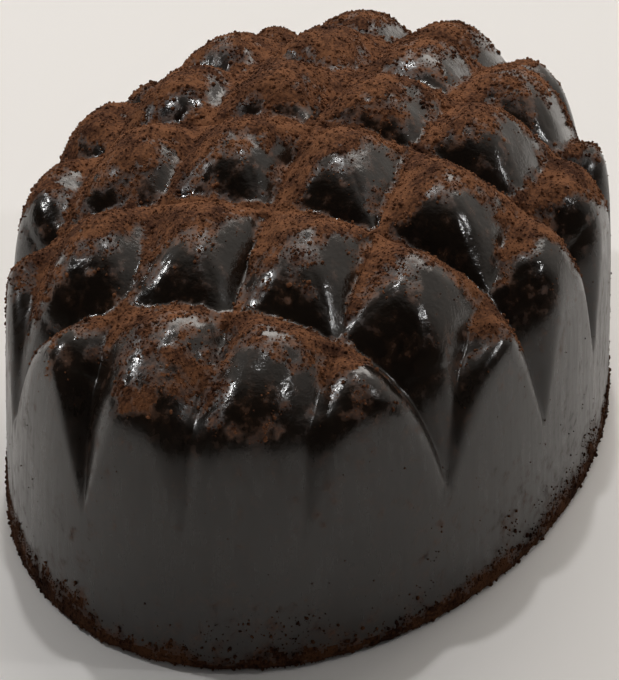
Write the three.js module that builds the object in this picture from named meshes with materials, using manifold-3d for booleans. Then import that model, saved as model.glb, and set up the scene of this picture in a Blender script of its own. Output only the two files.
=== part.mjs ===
// Moulded chocolate praline, one solid piece, in millimetres, +Z up, flat base on z = 0.
// An oval body with a nearly upright wall and a domed top. Two crossing families of straight
// V grooves cut the top into blunt pillows and run down the wall as flutes that end in a point.
// On the two end walls some of the flutes are fainter than the others.
import * as THREE from 'three';
import { mergeVertices } from 'three/addons/utils/BufferGeometryUtils.js';
import Module from 'manifold-3d';

// body
const HALF_LENGTH = 19.0;
const HALF_WIDTH = 12.1;
const TOTAL_HEIGHT = 15.95;
const WALL_HEIGHT = 10.1;
// shares of the length and width that the wall loses between the base and its top
const LEAN_ALONG = 0.045;
const LEAN_ACROSS = 0.012;
// how late the lean sets in: 1 is a straight slope, more bends in near the top
const LEAN_CURVE = 2.5;
// The dome's height falls with a power of the way out from its centre. The power is higher
// across the oval than along it, so that the top is boxier from side to side.
const DOME_POWER_ALONG = 1.1;
const DOME_POWER_ACROSS = 1.65;
// how the dome bends into the wall: 1 leaves an edge, 2 is a quarter ellipse
const SHOULDER_ROUNDNESS = 1.9;
const BASE_BEVEL = 0.25;

// grooves that run across the oval, then grooves that run along it
const CROSS_PITCH = 6.1;
const LONG_PITCH = 4.45;
const LINES_EACH_SIDE = 2;
const GROOVE_DEPTH = 1.5;
// half width of each kind of groove; the pillows' edges round off beyond it
const CROSS_HALF = 1.45;
const LONG_HALF = 1.2;
// height at which a flute comes to its point, and height at which it has its full depth
const FLUTE_TIP = 5.5;
const FLUTE_FULL = 11.0;
const FLUTE_TAPER = 1.15;
// share of its depth that each lengthwise groove, from -Y to +Y, has on the end walls
const FLUTE_SHARES = [1, 0.45, 0.35, 1, 1];
// heights between which a faint flute grows to a whole groove
const FAINT_UP_TO = 9.3;
const WHOLE_FROM = 13.0;
// the groove floor is set in towards a core line this far inside the wall
const CORE_INSET = 7.0;

// a groove's section: share of its half width, and share of its depth still left there
const GROOVE_SECTION = [
  [0.0, 1.0],
  [0.45, 0.56],
  [1.0, 0.17],
  [1.65, -0.03],
];
// at its point a cutter keeps this half width and has risen this far clear of the wall
const NARROWEST = 0.12;
const TIP_RISE = 0.06;
// how far a cutter stands out of the body
const CUT_LIFT = 1.2;

// facets
const PLAN_SEGMENTS = 96;
const WALL_RINGS = 4;
const DOME_RINGS = 14;
const WALL_STATIONS = 6;
const CROSS_STATIONS = 22;
const LONG_STATIONS = 32;
// points closer together than this are one point
const WELD = 1e-4;

const DOME_RISE = TOTAL_HEIGHT - WALL_HEIGHT;

// half length and half width of the plain body at a height; the dome starts from those at its rim
function planAt(z) {
  const bent = Math.pow(THREE.MathUtils.clamp(z / WALL_HEIGHT, 0, 1), LEAN_CURVE);
  return {
    length: HALF_LENGTH * (1 - LEAN_ALONG * bent),
    width: HALF_WIDTH * (1 - LEAN_ACROSS * bent),
  };
}

// height of the dome, from the shares of the way out to its rim along and across the oval
function domeHeight(along, across) {
  const out = Math.hypot(along, across);
  const turned = out > 0 ? (across / out) ** 2 : 0;
  const power = DOME_POWER_ALONG + (DOME_POWER_ACROSS - DOME_POWER_ALONG) * turned;
  const left = Math.max(0, 1 - Math.pow(Math.min(out, 1), power));
  return WALL_HEIGHT + DOME_RISE * Math.pow(left, 1 / SHOULDER_ROUNDNESS);
}

// a closed shell through rings of equal length, with a fan over each end
function loft(rings) {
  const count = rings[0].length;
  const positions = [];
  const index = [];
  for (const ring of rings) {
    for (const point of ring) {
      positions.push(point.x, point.y, point.z);
    }
  }
  for (let r = 0; r + 1 < rings.length; r += 1) {
    for (let i = 0; i < count; i += 1) {
      const j = (i + 1) % count;
      const low = r * count;
      const high = low + count;
      index.push(low + i, low + j, high + j);
      index.push(low + i, high + j, high + i);
    }
  }
  const ends = [0, rings.length - 1];
  for (const end of ends) {
    const centre = new THREE.Vector3();
    for (const point of rings[end]) {
      centre.addScaledVector(point, 1 / count);
    }
    const hub = positions.length / 3;
    positions.push(centre.x, centre.y, centre.z);
    for (let i = 0; i < count; i += 1) {
      const a = end * count + i;
      const b = end * count + ((i + 1) % count);
      if (end === 0) {
        index.push(hub, b, a);
      } else {
        index.push(hub, a, b);
      }
    }
  }
  const geometry = new THREE.BufferGeometry();
  geometry.setAttribute('position', new THREE.Float32BufferAttribute(positions, 3));
  geometry.setIndex(index);
  return geometry;
}

function turnedInsideOut(geometry) {
  const index = Array.from(geometry.getIndex().array);
  for (let i = 0; i < index.length; i += 3) {
    const first = index[i];
    index[i] = index[i + 1];
    index[i + 1] = first;
  }
  geometry.setIndex(index);
  return geometry;
}

// the plain body: flat base with a small bevel, leaning wall, dome
function bodyGeometry() {
  const profile = [new THREE.Vector2(0, 0), new THREE.Vector2(1 - BASE_BEVEL / HALF_WIDTH, 0)];
  profile.push(new THREE.Vector2(1, BASE_BEVEL));
  for (let i = 2; i <= WALL_RINGS; i += 1) {
    profile.push(new THREE.Vector2(1, (WALL_HEIGHT * i) / WALL_RINGS));
  }
  for (let i = 1; i < DOME_RINGS; i += 1) {
    const share = Math.cos((Math.PI / 2) * (i / DOME_RINGS));
    profile.push(new THREE.Vector2(share, domeHeight(share, 0)));
  }
  profile.push(new THREE.Vector2(0, TOTAL_HEIGHT));
  const geometry = new THREE.LatheGeometry(profile, PLAN_SEGMENTS);
  geometry.rotateX(Math.PI / 2);
  // the lathe turns a round body of radius 1, and each point then gets its own place
  const position = geometry.getAttribute('position');
  for (let i = 0; i < position.count; i += 1) {
    const along = position.getX(i);
    const across = position.getY(i);
    const z = position.getZ(i);
    const plan = planAt(z);
    const height = z > WALL_HEIGHT ? domeHeight(along, across) : z;
    position.setXYZ(i, along * plan.length, across * plan.width, height);
  }
  return geometry;
}

// share of its full depth that a groove has at a height
function heldShare(share, z) {
  return share + (1 - share) * THREE.MathUtils.smoothstep(z, FAINT_UP_TO, WHOLE_FROM);
}

// One groove cutter. The groove lies in a plane at a fixed offset from the middle; "side" is the
// direction across that plane and "run" the direction in which the groove runs over the body.
function grooveGeometry(offset, crosses, endShare) {
  const fullHalf = crosses ? CROSS_HALF : LONG_HALF;
  const topStations = crosses ? CROSS_STATIONS : LONG_STATIONS;
  const place = (side, run, z) =>
    crosses ? new THREE.Vector3(side, run, z) : new THREE.Vector3(run, side, z);
  const halvesAt = (z) => {
    const plan = planAt(z);
    return crosses
      ? { side: plan.length, run: plan.width }
      : { side: plan.width, run: plan.length };
  };
  const runAt = (side, z) => {
    const halves = halvesAt(z);
    return halves.run * Math.sqrt(Math.max(0, 1 - (side / halves.side) ** 2));
  };
  const rim = halvesAt(WALL_HEIGHT);
  const reach = runAt(offset, WALL_HEIGHT);
  const core = Math.max(0, reach - CORE_INSET);

  const stations = [];
  for (let i = 0; i < WALL_STATIONS; i += 1) {
    const climb = i / WALL_STATIONS;
    stations.push({ end: -1, z: FLUTE_TIP + (WALL_HEIGHT - FLUTE_TIP) * climb });
  }
  for (let i = 0; i <= topStations; i += 1) {
    stations.push({ end: 0, turn: Math.PI * (i / topStations - 0.5) });
  }
  for (let i = WALL_STATIONS - 1; i >= 0; i -= 1) {
    const climb = i / WALL_STATIONS;
    stations.push({ end: 1, z: FLUTE_TIP + (WALL_HEIGHT - FLUTE_TIP) * climb });
  }

  const surface = (station, side) => {
    if (station.end !== 0) {
      return { run: station.end * runAt(side, station.z), z: station.z };
    }
    const run = runAt(side, WALL_HEIGHT) * Math.sin(station.turn);
    const sideShare = side / rim.side;
    const runShare = run / rim.run;
    return { run, z: crosses ? domeHeight(sideShare, runShare) : domeHeight(runShare, sideShare) };
  };

  const rings = [];
  for (const station of stations) {
    const middle = surface(station, offset);
    const rise = (middle.z - FLUTE_TIP) / (FLUTE_FULL - FLUTE_TIP);
    const growth = Math.pow(THREE.MathUtils.clamp(rise, 0, 1), FLUTE_TAPER);
    const held = heldShare(endShare, middle.z);
    const depth = GROOVE_DEPTH * growth * held - TIP_RISE * (1 - growth);
    const halfWidth = Math.max(NARROWEST, fullHalf * growth);

    const nearest = THREE.MathUtils.clamp(middle.run, -core, core);
    const away = Math.hypot(middle.run - nearest, middle.z - FLUTE_TIP);
    const outRun = (middle.run - nearest) / away;
    const outZ = (middle.z - FLUTE_TIP) / away;

    const inner = [];
    const outer = [];
    const sections = [];
    for (let i = GROOVE_SECTION.length - 1; i > 0; i -= 1) {
      sections.push([-GROOVE_SECTION[i][0], GROOVE_SECTION[i][1]]);
    }
    sections.push(...GROOVE_SECTION);
    for (const [share, left] of sections) {
      const side = offset + share * halfWidth;
      const point = surface(station, side);
      const sunk = depth > 0 ? depth * left : depth;
      inner.push(place(side, point.run - outRun * sunk, point.z - outZ * sunk));
      outer.unshift(place(side, point.run + outRun * CUT_LIFT, point.z + outZ * CUT_LIFT));
    }
    rings.push(inner.concat(outer));
  }
  return loft(rings);
}

function volumeOf(geometry) {
  const position = geometry.getAttribute('position');
  const index = geometry.getIndex();
  const corner = [new THREE.Vector3(), new THREE.Vector3(), new THREE.Vector3()];
  let volume = 0;
  for (let i = 0; i < index.count; i += 3) {
    for (let k = 0; k < 3; k += 1) {
      corner[k].fromBufferAttribute(position, index.getX(i + k));
    }
    volume += corner[0].dot(corner[1].cross(corner[2])) / 6;
  }
  return volume;
}

const wasm = await Module();
wasm.setup();

function solidOf(geometry) {
  const bare = volumeOf(geometry) < 0 ? turnedInsideOut(geometry) : geometry;
  bare.deleteAttribute('normal');
  bare.deleteAttribute('uv');
  const merged = mergeVertices(bare, WELD);
  const vertProperties = merged.getAttribute('position').array;
  const triVerts = new Uint32Array(merged.getIndex().array);
  return new wasm.Manifold(new wasm.Mesh({ numProp: 3, vertProperties, triVerts }));
}

let solid = solidOf(bodyGeometry());
for (let line = -LINES_EACH_SIDE; line <= LINES_EACH_SIDE; line += 1) {
  const endShare = FLUTE_SHARES[line + LINES_EACH_SIDE];
  solid = solid.subtract(solidOf(grooveGeometry(line * CROSS_PITCH, true, 1)));
  solid = solid.subtract(solidOf(grooveGeometry(line * LONG_PITCH, false, endShare)));
}

const faces = solid.getMesh();
const geometry = new THREE.BufferGeometry();
geometry.setAttribute('position', new THREE.BufferAttribute(faces.vertProperties, 3));
geometry.setIndex(new THREE.BufferAttribute(faces.triVerts, 1));
geometry.computeVertexNormals();

const chocolate = new THREE.MeshStandardMaterial({ color: 0x2c1c14, roughness: 0.38, metalness: 0 });
const praline = new THREE.Mesh(geometry, chocolate);
praline.name = 'praline';

const sweet = new THREE.Group();
sweet.add(praline);

export default sweet;
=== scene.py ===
import itertools
import math

import bpy
import numpy as np
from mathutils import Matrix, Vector


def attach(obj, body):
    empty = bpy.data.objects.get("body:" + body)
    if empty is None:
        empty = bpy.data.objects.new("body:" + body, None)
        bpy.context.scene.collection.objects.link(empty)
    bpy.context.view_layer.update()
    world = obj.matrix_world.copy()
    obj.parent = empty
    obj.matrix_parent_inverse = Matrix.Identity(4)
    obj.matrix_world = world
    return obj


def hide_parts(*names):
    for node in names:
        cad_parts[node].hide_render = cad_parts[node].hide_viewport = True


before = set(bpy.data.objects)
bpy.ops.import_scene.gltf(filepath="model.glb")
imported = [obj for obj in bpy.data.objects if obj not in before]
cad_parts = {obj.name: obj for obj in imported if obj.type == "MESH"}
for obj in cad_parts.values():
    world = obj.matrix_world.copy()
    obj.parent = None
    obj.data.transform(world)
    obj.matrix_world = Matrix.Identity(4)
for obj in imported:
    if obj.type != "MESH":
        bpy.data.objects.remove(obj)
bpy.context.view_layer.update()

MM = 0.001
# Near enough to nothing, for a height or a divisor.
TINY = 1e-9

# The body, in millimetres, as in the solid.
HALF_LENGTH = 19.0
HALF_WIDTH = 12.1
TOTAL_HEIGHT = 15.95
WALL_HEIGHT = 10.1
LEAN_ALONG = 0.045
LEAN_ACROSS = 0.012
LEAN_CURVE = 2.5
DOME_POWER_ALONG = 1.10
DOME_POWER_ACROSS = 1.65
SHOULDER_ROUNDNESS = 1.9
BASE_BEVEL = 0.25

# The grooves, as in the solid.
CROSS_PITCH = 6.1
LONG_PITCH = 4.45
LINES = (-2, -1, 0, 1, 2)
GROOVE_DEPTH = 1.5
CROSS_HALF = 1.45
LONG_HALF = 1.2
FLUTE_TIP = 5.5
FLUTE_FULL = 11.0
FLUTE_TAPER = 1.15
# Share of the depth that each groove keeps low down, and the heights between which it
# comes back to the whole. Two of the flutes on each end wall are faint.
CROSS_SHARES = (1.0, 1.0, 1.0, 1.0, 1.0)
LONG_SHARES = (1.0, 0.45, 0.35, 1.0, 1.0)
FAINT_UP_TO = WALL_HEIGHT - 0.8
WHOLE_FROM = 13.0

# How softly the moulding is rounded: the foot of each V, its lips, the ridges between
# two grooves that cross, and the upright profile of the body.
VALLEY_RADIUS = 0.10
EDGE_BLEND = 0.72
HIP_ROUNDING = 1.6
PROFILE_ROUNDING = 0.85
# How uneven it is: wander of the grooves, swell of the pillows and ripple of the top. The
# swell and the ripple set in over a span of heights.
WANDER = 0.22
SWELL = 0.16
SWELL_MIDDLE = 0.6
RIPPLE = 0.05
UNEVEN_SPAN = (WALL_HEIGHT - 1.0, WALL_HEIGHT + 2.0)

# The fine mesh: steps around the oval, up the wall, over the dome and across the base.
AROUND = 720
WALL_STEPS = 76
DOME_STEPS = 150
BASE_STEPS = 14

# Uneven fields: size in millimetres, seed and octaves of each.
SEED = 7
WANDER_FIELDS = ((5.0, SEED + 71, 2), (5.0, SEED + 81, 2))
SWELL_FIELD = (3.2, SEED + 91, 2)
RIPPLE_FIELD = (0.9, SEED + 51, 3)
PATCH_FIELD = (2.2, SEED, 3)
GRAIN_FIELD = (0.55, SEED + 11, 3)
FACE_FIELD = (1.8, SEED + 101, 2)
RIM_FIELD = (1.6, SEED + 23, 3)
LUMP_FIELD = (0.30, SEED + 31, 3)
FILL_FIELD = (1.3, SEED + 41, 2)
BORDER_FIELD = (0.26, SEED + 61, 2)


def smoothstep(start, end, value):
    """0 up to the start and 1 from the end on, also where the end is the lower one."""
    t = np.clip((value - start) / (end - start), 0.0, 1.0)
    return t * t * (3.0 - 2.0 * t)


# Value noise over points in millimetres, the same on every run.
HASH_FACTORS = (374761393, 668265263, 2147483647)
HASH_SEED_FACTOR = 974634777
HASH_MIX = 1274126177
HASH_SHIFTS = (13, 16)
HASH_MASK = 0xFFFF


def lattice(cell, seed):
    """A number from 0 to 1 for each whole cell."""
    bits = sum(cell[..., axis] * factor for axis, factor in enumerate(HASH_FACTORS))
    bits = bits + seed * HASH_SEED_FACTOR
    bits = (bits ^ (bits >> HASH_SHIFTS[0])) * HASH_MIX
    bits = bits ^ (bits >> HASH_SHIFTS[1])
    return (bits & HASH_MASK) / HASH_MASK


def noise(points, size, seed):
    scaled = points / size
    base = np.floor(scaled).astype(np.int64)
    part = scaled - base
    part = part * part * (3.0 - 2.0 * part)
    total = np.zeros(len(points))
    for corner in itertools.product((0, 1), repeat=3):
        near = np.abs(1 - np.array(corner) - part)
        weight = near[:, 0] * near[:, 1] * near[:, 2]
        total += weight * lattice(base + np.array(corner), seed)
    return total


def fractal(points, size, seed, octaves):
    """Noise from 0 to 1 in octaves, each half the size and half the strength of the last."""
    total = np.zeros(len(points))
    weight = 0.0
    for octave in range(octaves):
        share = 0.5 ** octave
        total += share * noise(points, size * share, seed + octave)
        weight += share
    return total / weight


# The plain body. The innermost ring of the base is a small share of the oval, and the
# dome's rings are first set by a power, closer together toward its rim.
BASE_HOLE = 0.02
DOME_SPACING = 1.35


def wall_scale(z):
    """Plan size along and across at a height on the wall, as shares of the base."""
    bent = (np.minimum(z, WALL_HEIGHT) / WALL_HEIGHT) ** LEAN_CURVE
    return 1.0 - LEAN_ALONG * bent, 1.0 - LEAN_ACROSS * bent


def dome_height(along, across):
    out = np.hypot(along, across)
    turned = np.where(out > 0, (across / np.maximum(out, TINY)) ** 2, 0.0)
    power = DOME_POWER_ALONG + (DOME_POWER_ACROSS - DOME_POWER_ALONG) * turned
    left = np.maximum(0.0, 1.0 - np.minimum(out, 1.0) ** power)
    return WALL_HEIGHT + (TOTAL_HEIGHT - WALL_HEIGHT) * left ** (1.0 / SHOULDER_ROUNDNESS)


def body_grid():
    """Rings of points from the middle of the base, up the wall, to the middle of the top."""
    angle = np.linspace(0, 2 * math.pi, AROUND, endpoint=False)
    cos, sin = np.cos(angle), np.sin(angle)

    def ring(along, across, height):
        place = (HALF_LENGTH * along * cos, HALF_WIDTH * across * sin, height * np.ones(AROUND))
        return np.stack(place, -1)

    inner = 1.0 - BASE_BEVEL / HALF_WIDTH
    base = [ring(share, share, 0.0) for share in np.linspace(BASE_HOLE, inner, BASE_STEPS)]
    wall = [ring(*wall_scale(z), z) for z in np.linspace(BASE_BEVEL, WALL_HEIGHT, WALL_STEPS)]
    rim_along, rim_across = wall_scale(WALL_HEIGHT)
    dome = []
    for step in np.linspace(0.0, 1.0, DOME_STEPS + 1)[1:-1]:
        share = 1.0 - step ** DOME_SPACING
        dome.append(ring(rim_along * share, rim_across * share, dome_height(share * cos, share * sin)))
    return np.stack(base + softened(np.stack(wall + dome)))


# How far the rounding's bell curve is followed, in standard deviations.
BELL_REACH = 3.0
# Past the middle of the top, each upright line goes on as itself turned half round.
HALF_TURN = np.array((-1.0, -1.0, 1.0))


def softened(rings):
    """The same wall and dome in even steps, each upright line rounded off along its length."""
    count = len(rings)
    steps = np.linspace(0.0, 1.0, count)
    lines = []
    for k in range(AROUND):
        line = rings[:, k]
        lengths = np.linalg.norm(np.diff(line, axis=0), axis=1)
        length = np.concatenate([(0.0,), np.cumsum(lengths)])
        even = [np.interp(steps * length[-1], length, line[:, axis]) for axis in range(3)]
        even = np.stack(even, -1)
        spread = PROFILE_ROUNDING / (length[-1] / (count - 1))
        reach = int(BELL_REACH * spread)
        weights = np.exp(-0.5 * (np.arange(-reach, reach + 1) / spread) ** 2)
        weights /= weights.sum()
        before = 2.0 * even[0] - even[reach:0:-1]
        after = even[-2:-reach - 2:-1] * HALF_TURN
        padded = np.concatenate([before, even, after])
        soft = [np.convolve(padded[:, axis], weights, "valid") for axis in range(3)]
        lines.append(np.stack(soft, -1))
    return list(np.stack(lines, 1))


# The relief. Outward directions start from a core inside the body, a share of the oval. No
# groove is narrower than NARROWEST from its line to its lip, and the depth is worked out
# anew in each pass, from where the pass before left the point.
CORE_SHARE = 0.42
NARROWEST = 1e-3
RELIEF_PASSES = 24


def groove_cut(x, y, height, out):
    """Depth of the relief at a place, measured along the outward direction."""
    growth = np.clip((height - FLUTE_TIP) / (FLUTE_FULL - FLUTE_TIP), 0.0, 1.0) ** FLUTE_TAPER
    whole = smoothstep(FAINT_UP_TO, WHOLE_FROM, height)
    deepest = np.zeros_like(x)
    families = (
        (CROSS_PITCH, CROSS_HALF, CROSS_SHARES, x, out[..., 0]),
        (LONG_PITCH, LONG_HALF, LONG_SHARES, y, out[..., 1]),
    )
    for pitch, wide, low_shares, side, lean in families:
        half = np.maximum(wide * growth, NARROWEST)
        depth = GROOVE_DEPTH * growth * np.sqrt(np.maximum(0.0, 1.0 - lean * lean))
        for line, low_share in zip(LINES, low_shares):
            held = low_share + (1.0 - low_share) * whole
            away = np.sqrt((side - line * pitch) ** 2 + VALLEY_RADIUS ** 2) - VALLEY_RADIUS
            share = away / half
            lip = np.clip(1.0 + EDGE_BLEND - share, 0.0, 2.0 * EDGE_BLEND) ** 2 / (4.0 * EDGE_BLEND)
            cut = held * depth * (lip + np.maximum(0.0, 1.0 - EDGE_BLEND - share))
            less = np.minimum(cut, deepest)
            soft = HIP_ROUNDING * less * np.maximum(0.0, 1.0 - less / GROOVE_DEPTH)
            deepest = 0.5 * (cut + deepest + np.sqrt((cut - deepest) ** 2 + soft ** 2))
    return deepest


def outward(points):
    """From a core inside the body to each point: along the wall's normal, and up over the dome."""
    plan = np.hypot(points[..., 0] / HALF_LENGTH, points[..., 1] / HALF_WIDTH)
    free = 1.0 - np.maximum(0.0, 1.0 - CORE_SHARE / np.maximum(plan, TINY))
    x = points[..., 0] * free / HALF_LENGTH ** 2
    y = points[..., 1] * free / HALF_WIDTH ** 2
    reach = np.hypot(points[..., 0], points[..., 1]) * free / np.maximum(np.hypot(x, y), TINY)
    up = np.maximum(points[..., 2] - FLUTE_TIP, 0.0)
    direction = np.stack([x * reach, y * reach, up], -1)
    length = np.linalg.norm(direction, axis=-1, keepdims=True)
    return direction / np.maximum(length, TINY)


def relief(points):
    """The points moved in along the outward directions to the grooves, and how far each went."""
    out = outward(points)
    depth = np.zeros(points.shape[:-1])
    flat = points.reshape(-1, 3)
    wander_x, wander_y = (WANDER * (2.0 * fractal(flat, *field) - 1.0).reshape(depth.shape)
                          for field in WANDER_FIELDS)
    for _ in range(RELIEF_PASSES):
        moved = points - out * depth[..., None]
        cut = groove_cut(moved[..., 0] + wander_x, moved[..., 1] + wander_y, points[..., 2], out)
        depth = 0.5 * depth + 0.5 * cut
    return points - out * depth[..., None], depth


def grid_faces(rings):
    ring = np.arange(rings - 1)[:, None] * AROUND
    i = np.arange(AROUND)[None, :]
    j = (i + 1) % AROUND
    corners = (ring + i, ring + j, ring + AROUND + j, ring + AROUND + i)
    return np.stack(corners, -1).reshape(-1, 4)


def face_vectors(points, quads):
    """A vector for each face, square to it and twice its area long."""
    a, b, c, d = (points[quads[:, k]] for k in range(4))
    return np.cross(c - a, d - b)


def summed_at_corners(quads, values, total):
    for k in range(4):
        np.add.at(total, quads[:, k], values)
    return total


def normals_of(points, quads):
    out = summed_at_corners(quads, face_vectors(points, quads), np.zeros_like(points))
    return out / np.maximum(np.linalg.norm(out, axis=1, keepdims=True), TINY)


def areas_of(points, quads):
    """The area round each point: a quarter of each face that it belongs to."""
    quarter = np.linalg.norm(face_vectors(points, quads), axis=1) / 8
    return summed_at_corners(quads, quarter, np.zeros(len(points)))


# Where the cocoa lies, from 0 to 1. A COVER value is what one cause adds to it, a CONTRAST
# is how strongly an uneven field shows, and a SPAN is where a cause sets in. A REACH is how
# far the cover beside a groove line goes before it and after it, and LEE_FULL is the share
# of the way before it that is fully covered. Back is toward +X and left is toward +Y, as
# the camera sees them.
BASE_COVER = 0.25
CROSS_LEE_COVER = 0.40
CROSS_LEE_REACH = (3.6, 0.6)
LONG_LEE_COVER = 0.28
LONG_LEE_REACH = (1.6, 0.5)
LEE_FULL = 0.45
LINE_COVER = 0.34
LINE_WIDTH = 0.5
LINE_SPAN = (11.0, 12.5)
BACK_COVER = 0.58
BACK_SPAN = (-0.8 * HALF_LENGTH, 0.1 * HALF_LENGTH)
LEFT_COVER = 0.14
LEFT_SPAN = (-0.3 * HALF_WIDTH, 0.5 * HALF_WIDTH)
PATCH_CONTRAST = 1.9
GRAIN_CONTRAST = 1.2
TOP_SPAN = (WALL_HEIGHT - 1.6, WALL_HEIGHT + 0.8)
# Cocoa falls from this side. A face takes more the more it is turned that way, but those
# that are turned to it most are steep, and some of it slips off them.
DUST_FROM = np.array((0.55, 0.35, 0.76))
FACING_COVER = 1.35
FACING_MIDDLE = 0.75
FACING_MOST = 0.82
SLIP_LOSS = 2.2
SLIP_FROM = 0.84
# A thin haze of powder lies wherever the surface faces up.
HAZE_COVER = 0.36
HAZE_SPAN = (0.74, 0.92)
HAZE_CONTRAST = 0.8
# The first row is barer on its crest, and dusted in patches down its face.
FIRST_ROW_SPAN = (-12.6, -14.2)
FIRST_ROW_LOSS = 0.46
FACE_COVER = 0.34
FACE_PATCH_CONTRAST = 1.5
FACE_TOP_SPAN = (14.0, 12.5)
FACE_FOOT_SPAN = (9.5, 10.5)
FACE_RAGGED = 2.0
# The wall has a trace of powder, and a rough band of it round the foot. The band's height
# is a sum of shares of RIM_HEIGHT: it is higher on both flanks, and most on the left.
WALL_COVER = 0.02
FLANK_COVER = 0.03
FLANK_SPAN = (0.45, 1.0)
LOW_COVER = 0.18
LOW_SPAN = (5.0, 0.5)
WALL_CONTRAST = 0.5
RIM_HEIGHT = 2.7
RIM_FRONT = 0.10
RIM_FLANK = 0.30
RIM_LEFT = 0.50
RIM_LEFT_SPAN = (-0.2 * HALF_WIDTH, HALF_WIDTH)
RIM_RAGGED = 0.9
RIM_COVER = 0.48
RIM_CONTRAST = 0.9


def from_nearest_line(side, pitch):
    return side - pitch * np.clip(np.round(side / pitch), LINES[0], LINES[-1])


def behind_line(side, pitch, before, after):
    """1 just before the nearest groove line, falling to 0 on both sides of it."""
    away = from_nearest_line(side, pitch)
    return smoothstep(-before, -LEE_FULL * before, away) * smoothstep(after, 0.0, away)


def in_line(side, pitch):
    """1 on the nearest groove line, falling to 0 beside it."""
    return smoothstep(LINE_WIDTH, 0.0, np.abs(from_nearest_line(side, pitch)))


def top_cover(points, normals, patches, grain):
    x, y, z = points.T
    facing = normals @ (DUST_FROM / np.linalg.norm(DUST_FROM))
    amount = BASE_COVER + CROSS_LEE_COVER * behind_line(x, CROSS_PITCH, *CROSS_LEE_REACH)
    amount += LONG_LEE_COVER * behind_line(y, LONG_PITCH, *LONG_LEE_REACH)
    lines = in_line(y, LONG_PITCH) + in_line(x, CROSS_PITCH)
    amount += LINE_COVER * lines * smoothstep(*LINE_SPAN, z)
    amount += BACK_COVER * smoothstep(*BACK_SPAN, x)
    amount += LEFT_COVER * smoothstep(*LEFT_SPAN, y)
    amount += FACING_COVER * (np.minimum(facing, FACING_MOST) - FACING_MIDDLE)
    amount -= SLIP_LOSS * np.maximum(0.0, facing - SLIP_FROM)
    amount += PATCH_CONTRAST * (patches - 0.5) + GRAIN_CONTRAST * (grain - 0.5)
    haze = HAZE_COVER * smoothstep(*HAZE_SPAN, normals[:, 2]) + HAZE_CONTRAST * (grain - 0.5)
    amount = np.maximum(amount, haze)
    first = smoothstep(*FIRST_ROW_SPAN, x)
    ragged = z + FACE_RAGGED * (fractal(points, *FACE_FIELD) - 0.5)
    face = first * smoothstep(*FACE_TOP_SPAN, z) * smoothstep(*FACE_FOOT_SPAN, ragged)
    dusted = FACE_COVER + FACE_PATCH_CONTRAST * (patches - 0.5) + GRAIN_CONTRAST * (grain - 0.5)
    return np.maximum(amount - FIRST_ROW_LOSS * first, dusted * face)


def wall_cover(points, patches, grain):
    y, z = points[:, 1], points[:, 2]
    flank = smoothstep(*FLANK_SPAN, np.abs(y) / HALF_WIDTH)
    wall = WALL_COVER + FLANK_COVER * flank + LOW_COVER * smoothstep(*LOW_SPAN, z)
    wall += WALL_CONTRAST * (patches - 0.5)
    shares = RIM_FRONT + RIM_FLANK * flank + RIM_LEFT * smoothstep(*RIM_LEFT_SPAN, y)
    shares += RIM_RAGGED * fractal(points, *RIM_FIELD)
    in_rim = smoothstep(1.0, 0.0, z / (RIM_HEIGHT * shares))
    return np.maximum(wall, in_rim * (RIM_COVER + RIM_CONTRAST * grain))


def cocoa_cover(points, normals):
    """How much cocoa lies at each point, from 0 to 1."""
    patches = fractal(points, *PATCH_FIELD)
    grain = fractal(points, *GRAIN_FIELD)
    low = wall_cover(points, patches, grain)
    high = top_cover(points, normals, patches, grain)
    return np.clip(low + (high - low) * smoothstep(*TOP_SPAN, points[:, 2]), 0.0, 1.0)


# How thick the cocoa lies: lumpy wherever it has heaped, and filling the grooves.
HEAP_SPAN = (0.35, 0.75)
DUST_THICKNESS = 0.10
DUST_LEAST = 0.15
LUMP_CONTRAST = 1.5
LUMP_FROM = 0.32
FILL_DEPTH = 0.24
FILL_SPAN = (0.55, 1.0)
FILL_MIDDLE = 0.7
FILL_CONTRAST = 0.6
# A face counts as covered above this, with a ragged border.
COVERED = 0.58
BORDER_RAGGED = 0.8


def lift_of(points, depth, cover):
    """How far the cocoa and the unevenness raise each point."""
    heap = smoothstep(*HEAP_SPAN, cover)
    lumps = np.maximum(0.0, fractal(points, *LUMP_FIELD) - LUMP_FROM)
    lift = DUST_THICKNESS * heap * (DUST_LEAST + LUMP_CONTRAST * lumps)
    valley = smoothstep(*FILL_SPAN, depth / GROOVE_DEPTH)
    fill = FILL_MIDDLE + FILL_CONTRAST * (fractal(points, *FILL_FIELD) - 0.5)
    lift += FILL_DEPTH * valley * heap * fill
    uneven = RIPPLE * (fractal(points, *RIPPLE_FIELD) - 0.5)
    uneven += SWELL * (fractal(points, *SWELL_FIELD) - SWELL_MIDDLE)
    lift += uneven * smoothstep(*UNEVEN_SPAN, points[:, 2])
    lift[points[:, 2] < TINY] = 0.0
    return lift


def placed(name, data):
    """A new object in the scene, holding this mesh, lamp or camera."""
    item = bpy.data.objects.new(name, data)
    bpy.context.scene.collection.objects.link(item)
    return item


def smooth_mesh(name, points, faces):
    """A smoothly shaded mesh from points in millimetres; any under the floor are raised to it."""
    points = points.copy()
    points[:, 2] = np.maximum(points[:, 2], 0.0)
    mesh = bpy.data.meshes.new(name)
    mesh.from_pydata((points * MM).tolist(), [], faces)
    mesh.update()
    mesh.polygons.foreach_set("use_smooth", np.ones(len(mesh.polygons), dtype=bool))
    return mesh


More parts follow.
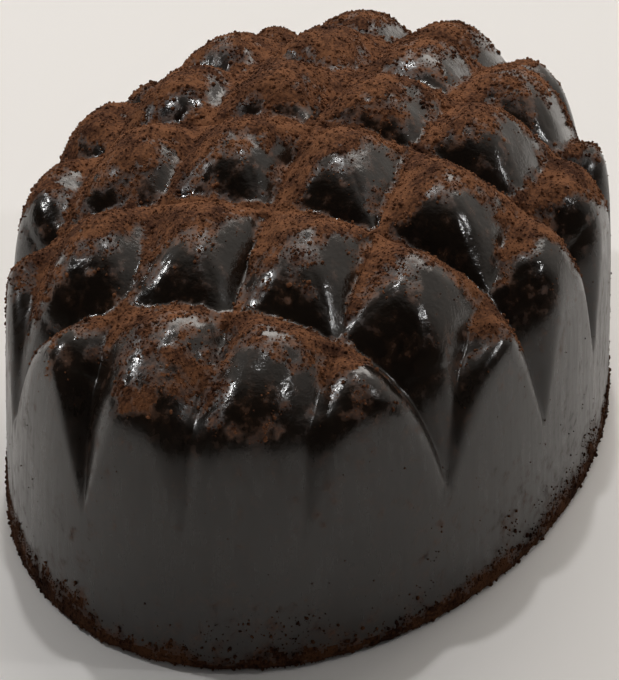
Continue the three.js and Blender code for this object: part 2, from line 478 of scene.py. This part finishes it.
def build_praline():
    """The whole sweet with the cocoa that sticks to it, and its surface for the loose grains."""
    grid, depth = relief(body_grid())
    points = grid.reshape(-1, 3)
    quads = grid_faces(len(grid))
    normals = normals_of(points, quads)
    cover = cocoa_cover(points, normals)
    points = points + normals * lift_of(points, depth.reshape(-1), cover)[:, None]
    points[:, 2] = np.maximum(points[:, 2], 0.0)

    low, high = len(points), len(points) + 1
    last = len(points) - AROUND
    faces = quads.tolist()
    for i in range(AROUND):
        j = (i + 1) % AROUND
        faces.append((low, j, i))
        faces.append((high, last + i, last + j))
    poles = ((0.0, 0.0, 0.0), points[last:].mean(axis=0))
    mesh = smooth_mesh("praline_body", np.vstack([points, *poles]), faces)

    attribute = mesh.attributes.new("cocoa", "FLOAT", "POINT")
    values = np.concatenate([cover, (0.0, cover[last:].mean())])
    attribute.data.foreach_set("value", values.astype(np.float32))
    border = BORDER_RAGGED * (fractal(points[quads].mean(axis=1), *BORDER_FIELD) - 0.5)
    slots = np.zeros(len(mesh.polygons), dtype=np.int32)
    slots[:len(quads)] = cover[quads].mean(axis=1) + border > COVERED
    mesh.polygons.foreach_set("material_index", slots)
    return placed("praline_body", mesh), points, normals, cover, areas_of(points, quads)


# Sockets of a colour mix node: its two colours, and its result.
MIX_FIRST, MIX_SECOND, MIX_RESULT = 6, 7, 2


def nodes_of(name):
    material = bpy.data.materials.new(name)
    material.use_nodes = True
    tree = material.node_tree
    return material, tree, tree.nodes["Principled BSDF"]


def add(tree, kind, **values):
    """A new node; each value goes to its property of that name, or else to its input."""
    node = tree.nodes.new(kind)
    for key, value in values.items():
        if hasattr(node, key):
            setattr(node, key, value)
        else:
            node.inputs[key].default_value = value
    return node


def feed(tree, source, target):
    """Links a socket to an input, or sets the input to a plain value."""
    if isinstance(source, bpy.types.NodeSocket):
        tree.links.new(source, target)
    else:
        target.default_value = source


def worked_out(tree, operation, *sources):
    """The result of one sum, product or the like."""
    node = add(tree, "ShaderNodeMath", operation=operation)
    for source, target in zip(sources, node.inputs):
        feed(tree, source, target)
    return node.outputs[0]


def mixed(tree, factor, first, second, blend="MIX"):
    node = add(tree, "ShaderNodeMix", data_type="RGBA", blend_type=blend)
    feed(tree, factor, node.inputs["Factor"])
    feed(tree, first, node.inputs[MIX_FIRST])
    feed(tree, second, node.inputs[MIX_SECOND])
    return node.outputs[MIX_RESULT]


def rising(tree, coordinates, start, end, least=0.0):
    """Rises softly to 1 between two heights in millimetres."""
    split = tree.nodes.new("ShaderNodeSeparateXYZ")
    tree.links.new(coordinates, split.inputs[0])
    node = add(tree, "ShaderNodeMapRange", interpolation_type="SMOOTHSTEP")
    tree.links.new(split.outputs["Z"], node.inputs["Value"])
    node.inputs["From Min"].default_value = start * MM
    node.inputs["From Max"].default_value = end * MM
    node.inputs["To Min"].default_value = least
    return node.outputs[0]


def ramp(tree, source, stops):
    """A colour ramp; where its stops pass 1, they and the source are scaled down together."""
    reach = max(1.0, stops[-1][0])
    if reach > 1.0:
        source = worked_out(tree, "DIVIDE", source, reach)
    node = tree.nodes.new("ShaderNodeValToRGB")
    elements = node.color_ramp.elements
    elements[0].position, elements[0].color = stops[0][0] / reach, stops[0][1]
    elements[1].position, elements[1].color = stops[-1][0] / reach, stops[-1][1]
    for position, color in stops[1:-1]:
        elements.new(position / reach).color = color
    tree.links.new(source, node.inputs["Fac"])
    return node.outputs["Color"]


def grey(value):
    return (value, value, value, 1)


def grain_texture(tree, coordinates, size, detail, rough):
    node = add(tree, "ShaderNodeTexNoise", Scale=1.0 / (size * MM), Detail=detail, Roughness=rough)
    tree.links.new(coordinates, node.inputs["Vector"])
    return node.outputs["Fac"]


# Textures: size in millimetres, detail and roughness of each.
POWDER_GRAINS = (0.14, 3.0, 0.6)
POWDER_PATCHES = (1.3, 4.0, 0.6)
POWDER_FINE = (0.10, 3.0, 0.6)
FILM_SPECKS = (0.60, 6.0, 0.60)
CHOCOLATE_TONE = (3.0, 4.0, 0.6)
TOP_SHEEN = (0.9, 5.0, 0.65)
WALL_STREAKS = (0.35, 4.0, 0.65)
SKIN = (0.20, 3.0, 0.55)
# How strongly patches show beside grains in the powder, and specks beside the cover.
PATCH_WEIGHT = 1.2
SPECK_WEIGHT = 1.5
# The streaks on the wall are drawn out upward: their texture is squeezed to this share.
STREAK_SQUEEZE = 0.12

COCOA_STOPS = (
    (0.85, (0.042, 0.018, 0.011, 1)),
    (1.04, (0.106, 0.047, 0.026, 1)),
    (1.26, (0.215, 0.094, 0.046, 1)),
)
CHOCOLATE_STOPS = (
    (0.30, (0.0085, 0.0058, 0.0042, 1)),
    (0.70, (0.0135, 0.0092, 0.0065, 1)),
)
# How much a thin film of powder hides, against the cover with its specks.
FILM_STOPS = ((0.78, grey(0.0)), (0.94, grey(0.09)), (1.10, grey(0.38)), (1.30, grey(0.90)))
# The wall came off the mould satin, and the pillows are glossier.
SATIN_STOPS = ((0.30, grey(0.22)), (0.75, grey(0.42)))
GLOSS_STOPS = ((0.30, grey(0.09)), (0.75, grey(0.21)))
GLOSS_HEIGHTS = (WALL_HEIGHT - 1.5, WALL_HEIGHT + 1.5)
FILM_ROUGHNESS = 0.90
FILM_HEIGHT = 0.5
CHOCOLATE_IOR = 1.55
# Painted shade: the powder is darker lower down; the share of its lightness that it keeps there.
FOOT_SHADE = 0.34
FOOT_HEIGHTS = (5.0, 13.2)
POWDER_ROUGHNESS = 1.0
POWDER_SPECULAR = 0.05
BUMP_STRENGTH = 0.5
SKIN_BUMP = 0.035
POWDER_BUMP = 0.04


def bumped(tree, shader, height, distance):
    bump = add(tree, "ShaderNodeBump", Strength=BUMP_STRENGTH, Distance=distance * MM)
    tree.links.new(height, bump.inputs["Height"])
    tree.links.new(bump.outputs["Normal"], shader.inputs["Normal"])


def cocoa_color(tree, coordinates):
    """Fine grains over broad patches, from dark to reddish brown, with painted shade lower down."""
    grains = grain_texture(tree, coordinates, *POWDER_GRAINS)
    patches = grain_texture(tree, coordinates, *POWDER_PATCHES)
    dry = ramp(tree, worked_out(tree, "MULTIPLY_ADD", patches, PATCH_WEIGHT, grains), COCOA_STOPS)
    return mixed(tree, 1.0, dry, rising(tree, coordinates, *FOOT_HEIGHTS, FOOT_SHADE), "MULTIPLY")


def chocolate_material():
    """Dark chocolate, seen through a film of powder where there is some cover."""
    material, tree, shader = nodes_of("dark_chocolate")
    coordinates = tree.nodes.new("ShaderNodeTexCoord").outputs["Object"]
    cover = add(tree, "ShaderNodeAttribute", attribute_name="cocoa").outputs["Fac"]
    specks = grain_texture(tree, coordinates, *FILM_SPECKS)
    film = ramp(tree, worked_out(tree, "MULTIPLY_ADD", specks, SPECK_WEIGHT, cover), FILM_STOPS)

    chocolate = ramp(tree, grain_texture(tree, coordinates, *CHOCOLATE_TONE), CHOCOLATE_STOPS)
    color = mixed(tree, film, chocolate, cocoa_color(tree, coordinates))
    tree.links.new(color, shader.inputs["Base Color"])

    on_top = rising(tree, coordinates, *GLOSS_HEIGHTS)
    upright = add(tree, "ShaderNodeMapping", vector_type="POINT")
    upright.inputs["Scale"].default_value = (1.0, 1.0, STREAK_SQUEEZE)
    tree.links.new(coordinates, upright.inputs["Vector"])
    streaks = grain_texture(tree, upright.outputs["Vector"], *WALL_STREAKS)
    satin = ramp(tree, streaks, SATIN_STOPS)
    gloss = ramp(tree, grain_texture(tree, coordinates, *TOP_SHEEN), GLOSS_STOPS)
    rough = mixed(tree, film, mixed(tree, on_top, satin, gloss), grey(FILM_ROUGHNESS))
    tree.links.new(rough, shader.inputs["Roughness"])

    skin = worked_out(tree, "MULTIPLY", grain_texture(tree, coordinates, *SKIN), on_top)
    height = worked_out(tree, "MULTIPLY_ADD", film, FILM_HEIGHT, skin)
    bumped(tree, shader, height, SKIN_BUMP)
    shader.inputs["IOR"].default_value = CHOCOLATE_IOR
    return material


def powder_material():
    material, tree, shader = nodes_of("cocoa_powder")
    coordinates = tree.nodes.new("ShaderNodeTexCoord").outputs["Object"]
    tree.links.new(cocoa_color(tree, coordinates), shader.inputs["Base Color"])
    bumped(tree, shader, grain_texture(tree, coordinates, *POWDER_FINE), POWDER_BUMP)
    shader.inputs["Roughness"].default_value = POWDER_ROUGHNESS
    shader.inputs["Specular IOR Level"].default_value = POWDER_SPECULAR
    return material


# Loose grains of cocoa: small irregular lumps, joined into one mesh for each kind.
GOLDEN = (1.0 + math.sqrt(5.0)) / 2.0
LUMP_UNEVENNESS = 0.28
LUMP_STRETCH = (0.7, 1.3)
LUMP_RAISED = 0.15
GRAIN_JITTER = 0.04
# Grains keep this far above the floor, and settle where there is some cover, less where
# it is full.
GRAIN_LOWEST = 0.12
LOOSE_SPAN = (0.14, 0.50)
FULL_SPAN = (0.55, 0.85)
FULL_LOSS = 0.6


def eight_sided():
    return np.array([sign * axis for axis in np.eye(3) for sign in (1.0, -1.0)])


def twenty_sided():
    corners = [np.roll((short, long * GOLDEN, 0.0), turn)
               for turn in range(3) for long in (1.0, -1.0) for short in (-1.0, 1.0)]
    return np.array(corners) / math.hypot(1.0, GOLDEN)


# Name, how many, smallest and largest size in millimetres, shape, and the weight of
# strays that lie where there is no cover.
GRAIN_KINDS = (
    ("cocoa_fine", 24500, 0.025, 0.055, eight_sided(), 0.004),
    ("cocoa_clumps", 7000, 0.040, 0.10, twenty_sided(), 0.0),
)


def hull_faces(corners):
    """Every three corners that are next to one another, turned to face outward."""
    apart = np.linalg.norm(corners[:, None] - corners[None, :], axis=2)
    next_to = np.isclose(apart, apart[apart > 0.0].min())
    faces = []
    for a, b, c in itertools.combinations(range(len(corners)), 3):
        if next_to[a, b] and next_to[b, c] and next_to[c, a]:
            square = np.cross(corners[b] - corners[a], corners[c] - corners[a])
            faces.append((a, b, c) if square @ corners[a] > 0.0 else (a, c, b))
    return np.array(faces)


def scatter(name, places, normals, sizes, corners, random):
    """A lump at each place, each uneven, stretched and turned in its own way."""
    faces = hull_faces(corners)
    all_points = []
    for place, normal, size in zip(places, normals, sizes):
        uneven = 1.0 + random.uniform(-LUMP_UNEVENNESS, LUMP_UNEVENNESS, len(corners))
        lump = corners * uneven[:, None] * random.uniform(*LUMP_STRETCH, 3)
        turn = Vector(random.normal(size=3)).to_track_quat("Z", "Y").to_matrix()
        lump = lump @ np.array(turn).T * size
        all_points.append(lump + place + normal * size * LUMP_RAISED)
    starts = np.arange(len(places)) * len(corners)
    all_faces = (faces[None] + starts[:, None, None]).reshape(-1, 3)
    return placed(name, smooth_mesh(name, np.concatenate(all_points), all_faces.tolist()))


def build_powder(points, normals, cover, areas, material):
    random = np.random.default_rng(SEED)
    clear = points[:, 2] > GRAIN_LOWEST
    loose = smoothstep(*LOOSE_SPAN, cover) * (1.0 - FULL_LOSS * smoothstep(*FULL_SPAN, cover))
    pieces = []
    for name, count, small, large, corners, strays in GRAIN_KINDS:
        weights = areas * clear * (strays + loose)
        chosen = random.choice(len(weights), size=count, replace=False, p=weights / weights.sum())
        sizes = small + (large - small) * random.random(count) ** 2
        normal = normals[chosen]
        jitter = random.normal(scale=GRAIN_JITTER, size=(count, 3))
        jitter -= normal * np.sum(jitter * normal, axis=1, keepdims=True)
        piece = scatter(name, points[chosen] + jitter, normal, sizes, corners, random)
        piece.data.materials.append(material)
        pieces.append(piece)
    return pieces


# The stage: a plain pale floor, in metres.
FLOOR_SIZE = 4.0
FLOOR_COLOR = (0.90, 0.88, 0.86, 1)
FLOOR_ROUGHNESS = 0.9


def build_floor():
    bpy.ops.mesh.primitive_plane_add(size=FLOOR_SIZE)
    floor = bpy.context.object
    floor.name = "floor"
    material, _, shader = nodes_of("pale_floor")
    shader.inputs["Base Color"].default_value = FLOOR_COLOR
    shader.inputs["Roughness"].default_value = FLOOR_ROUGHNESS
    floor.data.materials.append(material)


# The room is dark before the sweet and light behind and above it.
ROOM_TURN = 0.6
ROOM_STRENGTH = 0.6
ROOM_STOPS = ((0.00, grey(0.006)), (0.30, grey(0.012)), (1.00, (1.0, 0.93, 0.85, 1)))
# Lamps: name, place, width and height in metres, power in watts, and colour.
WHITE = (1.0, 1.0, 1.0)
LAMPS = (
    ("left", (0.02, 0.26, 0.22), (0.016, 0.016), 0.24, WHITE),
    ("right", (0.04, -0.26, 0.22), (0.014, 0.014), 0.09, WHITE),
    ("key", (0.10, 0.03, 0.32), (0.015, 0.015), 0.19, WHITE),
    ("back", (0.45, 0.0, 0.35), (0.5, 0.3), 1.3, (1.0, 0.95, 0.89)),
    ("fill", (-0.35, -0.05, 0.25), (0.4, 0.4), 0.16, WHITE),
)
LAMP_AIM = Vector((0.0, 0.0, 8.0)) * MM


def area_light(name, place, size, power, color):
    light = bpy.data.lights.new(name, "AREA")
    light.shape = "ELLIPSE"
    light.size, light.size_y = size
    light.energy = power
    light.color = color
    lamp = placed(name, light)
    lamp.location = place
    lamp.rotation_euler = (LAMP_AIM - Vector(place)).to_track_quat("-Z", "Y").to_euler()
    # the fill lamp gives soft light from the front, and no highlight
    lamp.visible_glossy = name != "fill"


def build_light():
    """Small lamps over the sweet and broad ones behind and before it, in a room dark in front."""
    bpy.context.scene.view_settings.view_transform = "Standard"
    world = bpy.data.worlds.new("studio")
    bpy.context.scene.world = world
    world.use_nodes = True
    tree = world.node_tree
    direction = tree.nodes.new("ShaderNodeTexCoord").outputs["Generated"]
    split = tree.nodes.new("ShaderNodeSeparateXYZ")
    tree.links.new(direction, split.inputs[0])
    behind = worked_out(tree, "MULTIPLY_ADD", split.outputs["Z"], ROOM_TURN, split.outputs["X"])
    background = tree.nodes["Background"]
    tree.links.new(ramp(tree, behind, ROOM_STOPS), background.inputs["Color"])
    background.inputs["Strength"].default_value = ROOM_STRENGTH
    for lamp in LAMPS:
        area_light(*lamp)


# The camera stands near one end of the oval, turned a little off its long axis.
# Distances are in millimetres, and the sweet's middle in pixels of the picture.
CAMERA_HEADING = math.radians(16.0)
CAMERA_ELEVATION = math.radians(29.4)
CAMERA_DISTANCE = 194.0
PIXELS_PER_MM = 23.87
IMAGE_WIDTH, IMAGE_HEIGHT = 619, 680
CENTRE_X, CENTRE_Y = 314.0, 264.6
SENSOR = 36.0
CLIP_START = 0.01


def build_camera():
    ahead = Vector((math.cos(CAMERA_HEADING), math.sin(CAMERA_HEADING), 0))
    right = Vector((math.sin(CAMERA_HEADING), -math.cos(CAMERA_HEADING), 0))
    view = ahead * math.cos(CAMERA_ELEVATION) - Vector((0, 0, 1)) * math.sin(CAMERA_ELEVATION)
    up = right.cross(view)
    centre = Vector((0, 0, TOTAL_HEIGHT / 2))
    place = centre - view * CAMERA_DISTANCE
    # the sweet's middle stands above the middle of the picture
    aim = centre - right * (CENTRE_X - IMAGE_WIDTH / 2) / PIXELS_PER_MM
    aim = aim + up * (CENTRE_Y - IMAGE_HEIGHT / 2) / PIXELS_PER_MM
    data = bpy.data.cameras.new("camera")
    data.sensor_width = SENSOR
    data.lens = SENSOR * PIXELS_PER_MM * CAMERA_DISTANCE / IMAGE_HEIGHT
    data.clip_start = CLIP_START
    camera = placed("camera", data)
    camera.location = place * MM
    camera.rotation_euler = (aim - place).to_track_quat("-Z", "Y").to_euler()
    bpy.context.scene.camera = camera


build_camera()
build_floor()
build_light()

praline, *surface = build_praline()
cocoa = powder_material()
praline.data.materials.append(chocolate_material())
praline.data.materials.append(cocoa)
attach(praline, "root")
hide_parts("praline")

for powder in build_powder(*surface, cocoa):
    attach(powder, "root")
